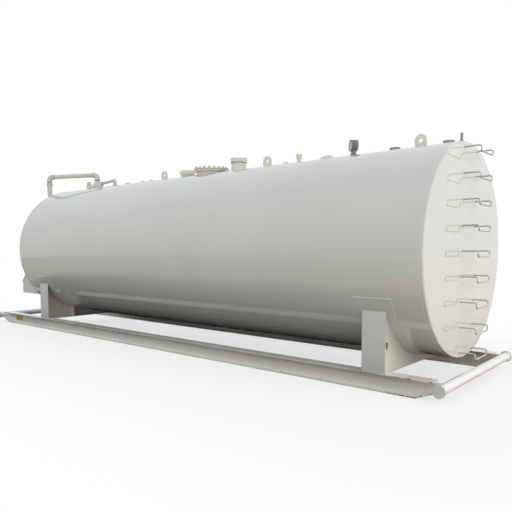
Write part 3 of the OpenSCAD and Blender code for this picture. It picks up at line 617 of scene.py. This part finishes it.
# Manway: a short neck with a flange and a bolted cover, the way in for a person.
# Studs with dull nuts stand round the cover, and rust has bled from the gasket in the joint.
manway_bolts, bolt_circle_inset, nut_r, stud_lift, manway_neck_r = 20, 0.032, 0.020, 0.030, 0.254
nut_share, washer_share, stud_share, washer_t, bolt_seed = 0.9, 1.18, 0.58, 0.006, 4
gasket_inset, gasket_half, gasket_pitch, gasket_points = 0.0006, 0.0038, 0.02, 96
joint_bleed, bleed_stretch = 0.016, (1.0, 1.0, 0.4)
plated_grey, gasket_brown = (0.44, 0.44, 0.36, 1.0), (0.20, 0.15, 0.11, 1.0)
cover_low, cover_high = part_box("manway_cover")
manway_x = (cover_low.x + cover_high.x) / 2
cover_r = (cover_high.x - cover_low.x) / 2
manway_enamel, manway_tree, manway_place = fitting_enamel("Enamel on manway")
joint_gap = maths(manway_tree, "ABSOLUTE", maths(
    manway_tree, "SUBTRACT", axis_of(manway_tree, manway_place, "Z"), cover_low.z))
joint_near = remap(manway_tree, joint_gap, 0.0, joint_bleed, 0.78, 0.0)
rust_over(manway_enamel, stretched(manway_tree, manway_place, bleed_stretch), joint_near, scale=13.0,
          roughness=0.9)
dress(manway_enamel, "manway_neck", "manway_cover")
bolt_tree, bolt_in, bolt_out = new_tree(
    "Bolt circle", [("Count", "Int"), ("Circle radius", "Float"), ("Nut radius", "Float"),
                    ("Stud height", "Float"), ("Centre", "Vector")])
nut_h = maths(bolt_tree, "MULTIPLY", bolt_in["Nut radius"], nut_share)
washer = step_node(bolt_tree, "GeometryNodeMeshCylinder", Vertices=20, Depth=washer_t,
                   Radius=maths(bolt_tree, "MULTIPLY", bolt_in["Nut radius"], washer_share))
nut = step_node(bolt_tree, "GeometryNodeMeshCylinder", Vertices=6, Depth=nut_h,
                Radius=bolt_in["Nut radius"])
stud = step_node(bolt_tree, "GeometryNodeMeshCylinder", Vertices=14, Depth=bolt_in["Stud height"],
                 Radius=maths(bolt_tree, "MULTIPLY", bolt_in["Nut radius"], stud_share))


def raised(tree, geometry, height):
    """Stands a primitive on its foot, at half its height above the origin."""
    lift = step_node(tree, "ShaderNodeCombineXYZ", Z=maths(tree, "MULTIPLY", height, 0.5))
    return step_node(tree, "GeometryNodeTransform", Geometry=geometry, Translation=lift)


bolt_join = bolt_tree.nodes.new("GeometryNodeJoinGeometry")
for part in (washer, raised(bolt_tree, nut, nut_h), raised(bolt_tree, stud, bolt_in["Stud height"])):
    bolt_tree.links.new(part, bolt_join.inputs[0])
bolt_ring = step_node(bolt_tree, "GeometryNodeMeshCircle", Vertices=bolt_in["Count"],
                      Radius=bolt_in["Circle radius"])
bolt_turn = step_node(bolt_tree, "FunctionNodeRandomValue", {"data_type": "FLOAT_VECTOR"},
                      Max=(0.0, 0.0, math.radians(60)), Seed=bolt_seed)
bolt_set = step_node(bolt_tree, "GeometryNodeInstanceOnPoints", Points=bolt_ring,
                     Instance=bolt_join.outputs[0], Rotation=bolt_turn)
bolt_put = step_node(bolt_tree, "GeometryNodeTransform", Geometry=bolt_set, Translation=bolt_in["Centre"])
finish_tree(bolt_tree, bolt_put, bolt_in["Paint"], bolt_out)
nut_steel, _, nut_place = enamel("Dull plated nuts", plated_grey, gloss=0.38, wave=0.2, coat=0.0)
rust_over(nut_steel, nut_place, amount=0.32, scale=30.0)
grow("manway_studs", bolt_tree, [(0.0, 0.0, 0.0)], [], "fitting_paint", Count=manway_bolts,
     Circle_radius=cover_r - bolt_circle_inset, Nut_radius=nut_r, Stud_height=stud_lift,
     Centre=(manway_x, 0.0, cover_high.z), Paint=nut_steel)
gasket_rust, _, gasket_place = enamel("Rusty gasket", gasket_brown, gloss=0.6, wave=0.5, coat=0.0)
rust_over(gasket_rust, gasket_place, amount=0.95, scale=9.0, roughness=0.9)
gasket_ring = closed_ring(
    lambda turn: (*round_at(manway_x, 0.0, cover_r - gasket_inset, turn), cover_low.z), gasket_points)
grow("manway_gasket", bead_tree, *joined_wires([gasket_ring]), "fitting_paint",
     Half_width=gasket_half, Pitch=gasket_pitch, Ripple=0.0, Paint=gasket_rust)
crown_wires.append(foot_ring(manway_x, 0.0, manway_neck_r))

# Vents: an emergency vent with a loose lid, a low vent and a small one, cast and turned.
# They were painted with the tank; painted shade and grime darken the joint under the lid, and each foot has
# a ring of weld.
vent_feet = {"emergency_vent": 0.123, "low_vent": 0.111, "small_vent": 0.036}
joint_shade_and_grime, joint_shade_fade = (0.24, 0.19, 0.13, 1.0), (0.003, 0.014)
vent_enamel, vent_tree, vent_place = fitting_enamel("Enamel on emergency vent")
lid_gap = maths(vent_tree, "ABSOLUTE", maths(
    vent_tree, "SUBTRACT", axis_of(vent_tree, vent_place, "Z"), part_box("emergency_vent_lid")[0].z))
# Painted shade and grime: a dark band round the joint where the lid sits on the body.
lay_over(vent_enamel, remap(vent_tree, lid_gap, *joint_shade_fade, 0.75, 0.0), joint_shade_and_grime, roughness=0.8)
dress(vent_enamel, "emergency_vent_lid", "emergency_vent")
dress(crown_enamel, "low_vent", "small_vent")
for name, foot_r in vent_feet.items():
    vent_low, vent_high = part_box(name)
    crown_wires.append(foot_ring((vent_low.x + vent_high.x) / 2, 0.0, foot_r))

# Plugs: half couplings welded to the crown, with cast plugs screwed in, a low hatch and a nipple.
# Those by the head with the steps are newer, and still bare grey iron.
plug_feet = ((-1.806, 0.069), (-1.330, 0.049), (-1.087, 0.049), (2.120, 0.049), (2.875, 0.110),
             (3.899, 0.069), (4.604, 0.069), (4.760, 0.024))
bare_from_x, bare_fade = 3.80, 0.01
iron_dark, iron_light = (0.28, 0.285, 0.25, 1.0), (0.42, 0.42, 0.375, 1.0)
plug_enamel, plug_tree, plug_place = fitting_enamel("Enamel and bare iron on plugs")
iron_cloud = mottle(plug_tree, plug_place, 45.0, 5.0, (0.35, 0.65))
bare_share = remap(plug_tree, axis_of(plug_tree, plug_place, "X"), bare_from_x, bare_from_x + bare_fade)
lay_over(plug_enamel, bare_share, mixed(plug_tree, iron_cloud, iron_dark, iron_light), roughness=0.5)
dress(plug_enamel, "crown_plugs")
crown_wires += [foot_ring(x, 0.0, foot_r) for x, foot_r in plug_feet]

# Pipes: the fill line and the return line, of screwed steel pipe with cast elbows and a union.
# Where each joint was made up, a few turns of bare thread show, brown with rust and sealant.
pipe_cream = (0.66, 0.645, 0.57, 1.0)
pipe_band_r, riser_foot_r, elbow_reach, thread_gap, pipe_r = 0.059, 0.116, 0.106, 0.018, 0.0445
thread_pitch, thread_half, union_h, union_nut_r, union_nut_sides = 0.0045, 0.0024, 0.062, 0.069, 8
nut_foot_inset, nut_top_inset, nut_lap, nut_bevel_r, nut_bevel_z = 0.012, 0.014, 0.002, 0.004, 0.005
return_foot_r, return_ends = 0.050, ((-2.250, 0.0), (-2.960, 0.158))
pipe_enamel, _, pipe_place = enamel("Enamel on pipes", pipe_cream, gloss=0.20, wave=0.4, coat=0.15)
rust_over(pipe_enamel, pipe_place, amount=0.16, scale=24.0)
dress(pipe_enamel, "fill_pipe", "return_line")
pipe_low, pipe_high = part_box("fill_pipe")
riser = (pipe_high.x - riser_foot_r, pipe_high.y - riser_foot_r)
drop = (pipe_low.x + pipe_band_r, pipe_low.y + pipe_band_r)
thread_top = pipe_high.z - pipe_band_r - elbow_reach
thread_tree, thread_in, thread_out = new_tree(
    "Thread turns", [("Pipe radius", "Float"), ("Thread radius", "Float")])
thread_round = step_node(thread_tree, "GeometryNodeCurvePrimitiveCircle", Resolution=48,
                         Radius=thread_in["Pipe radius"])
thread_section = step_node(thread_tree, "GeometryNodeCurvePrimitiveCircle", Resolution=6,
                           Radius=thread_in["Thread radius"])
thread_loop = step_node(thread_tree, "GeometryNodeCurveToMesh", Curve=thread_round,
                        Profile_Curve=thread_section)
repeat_shape(thread_tree, thread_loop, thread_in, thread_out)
thread_points = [(x, y, thread_top - thread_pitch * (i + 0.5)) for x, y in (riser, drop)
                 for i in range(int(thread_gap / thread_pitch))]
grow("pipe_threads", thread_tree, thread_points, [], "fitting_paint", Pipe_radius=pipe_r,
     Thread_radius=thread_half, Paint=gasket_rust)


def turned(name, profile, centre, turn, sides, paint):
    """A piece turned about the third axis of a frame, from the radius and height of each profile point."""
    shape = bmesh.new()
    corners = [shape.verts.new((radius, 0.0, height)) for radius, height in profile]
    edges = [shape.edges.new(pair) for pair in zip(corners, corners[1:])]
    bmesh.ops.spin(shape, geom=corners + edges, cent=(0.0, 0.0, 0.0), axis=(0.0, 0.0, 1.0),
                   angle=2.0 * math.pi, steps=sides, use_merge=True)
    bmesh.ops.remove_doubles(shape, verts=shape.verts, dist=1e-6)
    return placed(name, shape, centre, turn, paint)


nut_low = thread_top - thread_gap - union_h + nut_foot_inset
nut_high = thread_top - thread_gap - nut_top_inset
turned("union_nut", [(pipe_band_r - nut_lap, nut_low), (union_nut_r - nut_bevel_r, nut_low),
                     (union_nut_r, nut_low + nut_bevel_z), (union_nut_r, nut_high - nut_bevel_z),
                     (union_nut_r - nut_bevel_r, nut_high), (pipe_band_r - nut_lap, nut_high)],
       Vector((*drop, 0.0)), Matrix.Identity(3), union_nut_sides, pipe_enamel)
crown_wires.append(foot_ring(*riser, riser_foot_r))
crown_wires += [foot_ring(x, y, return_foot_r) for x, y in return_ends]
beads("crown_welds", crown_wires, fillet_half, "tank_paint", weld_enamel)

# Fill box: a folded sheet box welded to the plain head, which catches drips, with a sloping lid.
# It wears the same enamel as the saddle posts, and the lid hangs on two hinges along its upper edge.
knuckle_r, knuckle_l, knuckle_gap, knuckle_count = 0.009, 0.036, 0.002, 5
leaf_w, leaf_t, leaf_corner, hinge_insets = 0.045, 0.003, 0.006, (0.175, 0.525)
dress(post_enamel, "fill_box", "fill_box_lid")
box_low, box_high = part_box("fill_box")
box_wall = [(box_high.x, y, z) for y, z in (
    (box_low.y, box_high.z), (box_low.y, box_low.z), (box_high.y, box_low.z), (box_high.y, box_high.z),
    (box_low.y, box_high.z))]
beads("fill_box_welds", [box_wall], fillet_half, "tank_paint", post_enamel)
knuckle_tree, knuckle_in, knuckle_out = new_tree(
    "Hinge knuckles", [("Radius", "Float"), ("Length", "Float")])
knuckle_bar = step_node(knuckle_tree, "GeometryNodeMeshCylinder", Vertices=20, Radius=knuckle_in["Radius"],
                        Depth=knuckle_in["Length"])
knuckle_turn = step_node(knuckle_tree, "GeometryNodeTransform", Geometry=knuckle_bar,
                         Rotation=(math.radians(90), 0.0, 0.0))
repeat_shape(knuckle_tree, knuckle_turn, knuckle_in, knuckle_out)
hinge_x, hinge_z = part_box("fill_box_lid")[1].x + knuckle_r / 2, box_high.z + knuckle_r
hinge_pitch = knuckle_l + knuckle_gap
hinge_ys = [box_low.y + inset for inset in hinge_insets]
knuckle_points = [(hinge_x, y + hinge_pitch * (i - (knuckle_count - 1) / 2), hinge_z) for y in hinge_ys
                  for i in range(knuckle_count)]
grow("lid_hinge_knuckles", knuckle_tree, knuckle_points, [], "fitting_paint", Radius=knuckle_r,
     Length=knuckle_l, Paint=post_enamel)
for name, y in zip(("lid_hinge_leaf_front", "lid_hinge_leaf_back"), hinge_ys):
    plate(name, (leaf_w, hinge_pitch * knuckle_count), leaf_t, leaf_corner,
          Vector((hinge_x + leaf_w / 2, y, box_high.z)), Matrix.Identity(3), post_enamel)

# Level gauge: a clock gauge, a cast drum on a stem with a dial and two hands behind glass.
# The casting is dull dark grey, and its stem has a coat of blue-grey paint.
gauge_turn, gauge_d, gauge_depth, gauge_rim, gauge_sides = math.radians(41), 0.155, 0.088, 0.010, 64
stem_top, stem_fade, gauge_foot_r = 0.075, 0.01, 0.050
dial_t, dial_gap, glass_lift, glass_t = 0.001, 0.001, 0.0055, 0.002
bezel_half, bezel_lap, bezel_bevel = 0.004, 0.002, 0.003
mark_inset, hand_t, hand_pivot_share, hand_corner_share = 0.003, 0.001, 0.42, 0.45
drum_grey = (0.18, 0.185, 0.19, 1.0)
stem_dark, stem_light = (0.17, 0.21, 0.24, 1.0), (0.24, 0.28, 0.31, 1.0)
dial_cream, dial_brown = (0.30, 0.30, 0.275, 1.0), (0.21, 0.19, 0.145, 1.0)
print_black, glass_clear = (0.035, 0.035, 0.035, 1.0), (0.93, 0.95, 0.94, 1.0)
gauge_low, gauge_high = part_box("level_gauge")
gauge_x = (gauge_low.x + gauge_high.x) / 2
gauge_centre = Vector((gauge_x, 0.0, gauge_high.z - gauge_d / 2))
gauge_front = Vector((-math.sin(gauge_turn), -math.cos(gauge_turn), 0.0))
gauge_up = Vector((0.0, 0.0, 1.0))
gauge_frame = Matrix((gauge_up.cross(gauge_front), gauge_up, gauge_front)).transposed()
dial_lift, dial_r = gauge_depth / 2 - gauge_rim / 2, gauge_d / 2 - gauge_rim
gauge_grey, gauge_tree, gauge_place = enamel(
    "Dull cast drum and painted stem", drum_grey, gloss=0.40, wave=0.3, coat=0.0)
stem_cloud = mottle(gauge_tree, gauge_place, 40.0, 5.0, (0.35, 0.65))
stem_share = remap(gauge_tree, axis_of(gauge_tree, gauge_place, "Z"), crown_z + stem_top,
                   crown_z + stem_top + stem_fade, 1.0, 0.0)
lay_over(gauge_grey, stem_share, mixed(gauge_tree, stem_cloud, stem_dark, stem_light), roughness=0.45)
dress(gauge_grey, "level_gauge")
dial_white, dial_tree, dial_place = enamel("Aged dial", dial_cream, gloss=0.45, wave=0.2, coat=0.0)
dial_stain = mottle(dial_tree, dial_place, 26.0, 5.0, (0.45, 0.75), (0.0, 0.5))
lay_over(dial_white, dial_stain, dial_brown, roughness=0.6)
dial_black, _, _ = enamel("Black dial print", print_black, gloss=0.4, wave=0.2, coat=0.0)
dial_glass, glass_tree, _ = enamel("Dusty gauge glass", glass_clear, gloss=0.05, wave=0.1, coat=0.0)
glass_tree.nodes["Principled BSDF"].inputs["Transmission Weight"].default_value = 1.0
dial_edge = dial_r - dial_gap
glass_foot = dial_lift + glass_lift
for name, foot, top, paint in (("gauge_dial", dial_lift - dial_t, dial_lift + dial_t, dial_white),
                               ("gauge_glass", glass_foot, glass_foot + glass_t, dial_glass)):
    turned(name, [(0.0, foot), (dial_edge, foot), (dial_edge, top), (0.0, top)], gauge_centre, gauge_frame,
           gauge_sides, paint)
bezel_in, bezel_out = dial_r - bezel_lap, gauge_d / 2 + bezel_lap
bezel_low, bezel_high = gauge_depth / 2 - bezel_half, gauge_depth / 2 + bezel_half
bezel_shoulder = bezel_high - bezel_lap
turned("gauge_bezel", [(bezel_in, bezel_low), (bezel_out, bezel_low), (bezel_out, bezel_shoulder),
                       (bezel_out - bezel_bevel, bezel_high), (dial_r, bezel_high),
                       (bezel_in, bezel_shoulder), (bezel_in, bezel_low)],
       gauge_centre, gauge_frame, gauge_sides, gauge_grey)
mark_tree, mark_in, mark_out = new_tree(
    "Dial marks", [("Count", "Int"), ("Radius", "Float"), ("Mark", "Vector"), ("Centre", "Vector"),
                   ("Turn", "Vector")])
mark_box = step_node(mark_tree, "GeometryNodeMeshCube", Size=mark_in["Mark"])
mark_ring = step_node(mark_tree, "GeometryNodeMeshCircle", Vertices=mark_in["Count"],
                      Radius=mark_in["Radius"])
mark_index = mark_tree.nodes.new("GeometryNodeInputIndex").outputs[0]
mark_share = maths(mark_tree, "DIVIDE", mark_index, mark_in["Count"])
mark_spin = step_node(mark_tree, "ShaderNodeCombineXYZ",
                      Z=maths(mark_tree, "MULTIPLY", mark_share, 2.0 * math.pi))
mark_set = step_node(mark_tree, "GeometryNodeInstanceOnPoints", Points=mark_ring,
                     Instance=mark_box, Rotation=mark_spin)
mark_put = step_node(mark_tree, "GeometryNodeTransform", Geometry=mark_set,
                     Translation=mark_in["Centre"], Rotation=mark_in["Turn"])
finish_tree(mark_tree, mark_put, mark_in["Paint"], mark_out)
mark_centre = gauge_centre + gauge_front * (dial_lift + dial_t)
for name, count, mark_size in (("gauge_long_marks", 12, (0.012, 0.0030, 0.0006)),
                               ("gauge_short_marks", 60, (0.006, 0.0012, 0.0006))):
    grow(name, mark_tree, [(0.0, 0.0, 0.0)], [], "gauge_grey", Count=count,
         Radius=dial_edge - mark_size[0] / 2 - mark_inset, Mark=mark_size, Centre=mark_centre,
         Turn=gauge_frame.to_euler(), Paint=dial_black)
for name, reach, width, angle, lift in (("gauge_long_hand", 0.046, 0.0035, 62.0, 0.0035),
                                        ("gauge_short_hand", 0.030, 0.0055, -38.0, 0.0020)):
    hand_turn = gauge_frame @ Matrix.Rotation(math.radians(angle), 3, "Z")
    hand_middle = gauge_centre + gauge_front * (dial_lift + lift)
    hand_middle += hand_turn @ Vector((reach * hand_pivot_share, 0.0, 0.0))
    plate(name, (reach, width), hand_t, width * hand_corner_share, hand_middle, hand_turn, dial_black)
beads("gauge_weld", [foot_ring(gauge_x, 0.0, gauge_foot_r)], fillet_half, "tank_paint", weld_enamel)

# Studio: a pale floor that keeps the tank's shadow and fades to white, a soft sky that is brighter
# overhead, and three large soft lamps: a low warm one by the steps, a high one in front and one behind.
# Under and behind the tank the floor sends back little light, as bare earth in shadow would.
floor_half, fade_start, fade_end, near_white = 80.0, 0.2, 3.6, 0.70
shade_middle, shade_half, shade_fade = (-0.25, 3.1, 0.0), (4.55, 4.9, 0.0), 1.2
mirror_middle, mirror_half, mirror_fade = (-4.0, -1.0, 0.0), (9.0, 10.0, 0.0), 3.0
shade_earth, pale_earth = (0.05, 0.047, 0.043, 1.0), (0.70, 0.64, 0.555, 1.0)
seen_floor = (0.90, 0.89, 0.87, 1.0)
mirror_floor, mirror_sky = (0.86, 0.80, 0.735, 1.0), (0.80, 0.83, 0.845, 1.0)
low_sky, high_sky, high_sky_from = (0.54, 0.545, 0.545, 1.0), (0.66, 0.70, 0.735, 1.0), 0.95
plain_white = (1.0, 1.0, 1.0, 1.0)
floor_mesh = bpy.data.meshes.new("studio_floor")
floor_mesh.from_pydata([(way_x * floor_half, way_y * floor_half, 0.0)
                        for way_x, way_y in ((-1, -1), (1, -1), (1, 1), (-1, 1))], [], [(0, 1, 2, 3)])
floor = bpy.data.objects.new("studio_floor", floor_mesh)
bpy.context.scene.collection.objects.link(floor)
floor_paint = bpy.data.materials.new("Pale floor")
floor_paint.use_nodes = True
floor_tree = floor_paint.node_tree
floor_tree.nodes.remove(floor_tree.nodes["Principled BSDF"])
floor_place = floor_tree.nodes.new("ShaderNodeTexCoord").outputs["Object"]


def vector_step(operation, first, second=(0.0, 0.0, 0.0)):
    made = floor_tree.nodes.new("ShaderNodeVectorMath")
    made.operation = operation
    feed(floor_tree, made.inputs[0], first)
    feed(floor_tree, made.inputs[1], second)
    return made.outputs["Value" if operation == "LENGTH" else "Vector"]


def gap_from(middle, half_size):
    """How far a place on the floor lies outside a box."""
    across = vector_step("ABSOLUTE", vector_step("SUBTRACT", floor_place, middle))
    past = vector_step("MAXIMUM", vector_step("SUBTRACT", across, half_size))
    return vector_step("LENGTH", past)


def mirrored_rays(tree, rays):
    """1 for what gloss or glass shows, and 0 for the rest."""
    return maths(tree, "MAXIMUM", rays["Is Glossy Ray"], rays["Is Transmission Ray"])


floor_rays = floor_tree.nodes.new("ShaderNodeLightPath").outputs
floor_camera = floor_rays["Is Camera Ray"]
floor_seen = maths(floor_tree, "MULTIPLY", floor_camera, remap(
    floor_tree, gap_from((0.0, 0.0, 0.0), cad_box[1]), fade_start, fade_end, near_white, 1.0))
floor_mirrored = maths(floor_tree, "MULTIPLY", mirrored_rays(floor_tree, floor_rays), remap(
    floor_tree, gap_from(mirror_middle, mirror_half), 0.0, mirror_fade))
floor_colour = mixed(floor_tree, remap(floor_tree, gap_from(shade_middle, shade_half), 0.0, shade_fade),
                     shade_earth, pale_earth)
floor_diffuse = step_node(floor_tree, "ShaderNodeBsdfDiffuse", Color=mixed(
    floor_tree, floor_camera, floor_colour, seen_floor))
floor_white = step_node(floor_tree, "ShaderNodeEmission", Strength=1.0, Color=mixed(
    floor_tree, floor_camera, mirror_floor, plain_white))
floor_mix = floor_tree.nodes.new("ShaderNodeMixShader")
feed(floor_tree, floor_mix.inputs[0], maths(floor_tree, "MAXIMUM", floor_seen, floor_mirrored))
feed(floor_tree, floor_mix.inputs[1], floor_diffuse)
feed(floor_tree, floor_mix.inputs[2], floor_white)
feed(floor_tree, floor_tree.nodes["Material Output"].inputs["Surface"], floor_mix.outputs[0])
floor_mesh.materials.append(floor_paint)

sky = bpy.data.worlds.new("Soft sky")
bpy.context.scene.world = sky
sky.use_nodes = True
sky_tree = sky.node_tree
sky_shader = sky_tree.nodes["Background"]
sky_height = axis_of(sky_tree, sky_tree.nodes.new("ShaderNodeTexCoord").outputs["Generated"], "Z")
sky_glow = mixed(sky_tree, remap(sky_tree, sky_height, 0.0, high_sky_from), low_sky, high_sky)
sky_rays = sky_tree.nodes.new("ShaderNodeLightPath").outputs
sky_unseen = mixed(sky_tree, mirrored_rays(sky_tree, sky_rays), sky_glow, mirror_sky)
sky_shader.inputs["Strength"].default_value = 1.0
feed(sky_tree, sky_shader.inputs["Color"], mixed(
    sky_tree, sky_rays["Is Camera Ray"], sky_unseen, plain_white))
tank_middle = (cad_box[0] + cad_box[1]) / 2


def soft_lamp(name, offset, size, power, colour=(1.0, 1.0, 1.0)):
    """A square soft lamp that stands off from the tank's middle and points at it."""
    lamp = bpy.data.lights.new(name, "AREA")
    lamp.shape = "SQUARE"
    lamp.size = size
    lamp.energy = power
    lamp.color = colour
    holder = bpy.data.objects.new(name, lamp)
    holder.location = tank_middle + Vector(offset)
    holder.rotation_euler = Vector(offset).to_track_quat("Z", "Y").to_euler()
    holder.visible_glossy = False
    holder.visible_camera = False
    bpy.context.scene.collection.objects.link(holder)


soft_lamp("side_lamp", (14.0, -0.5, 2.6), size=8.0, power=545.0, colour=(1.0, 0.955, 0.89))
soft_lamp("front_lamp", (-1.0, -10.0, 8.5), size=9.0, power=290.0)
soft_lamp("back_lamp", (-9.0, 9.0, 6.0), size=9.0, power=300.0)

# Camera: at eye height near the front corner by the steps, where the photograph was taken.
# Its shift sets the tank where it stands in the photograph's frame.
photo_lens = bpy.data.cameras.new("photo_camera")
photo_lens.sensor_width = 36.0
photo_lens.lens = 37.611
photo_lens.shift_x = 0.01337
photo_lens.shift_y = 0.0617
photo_camera = bpy.data.objects.new("photo_camera", photo_lens)
photo_camera.location = (7.085, -6.65, 1.630)
photo_camera.rotation_euler = (math.radians(85.854), 0.0, math.radians(40.612))
bpy.context.scene.collection.objects.link(photo_camera)
bpy.context.scene.camera = photo_camera
bpy.context.scene.view_settings.view_transform = "Standard"
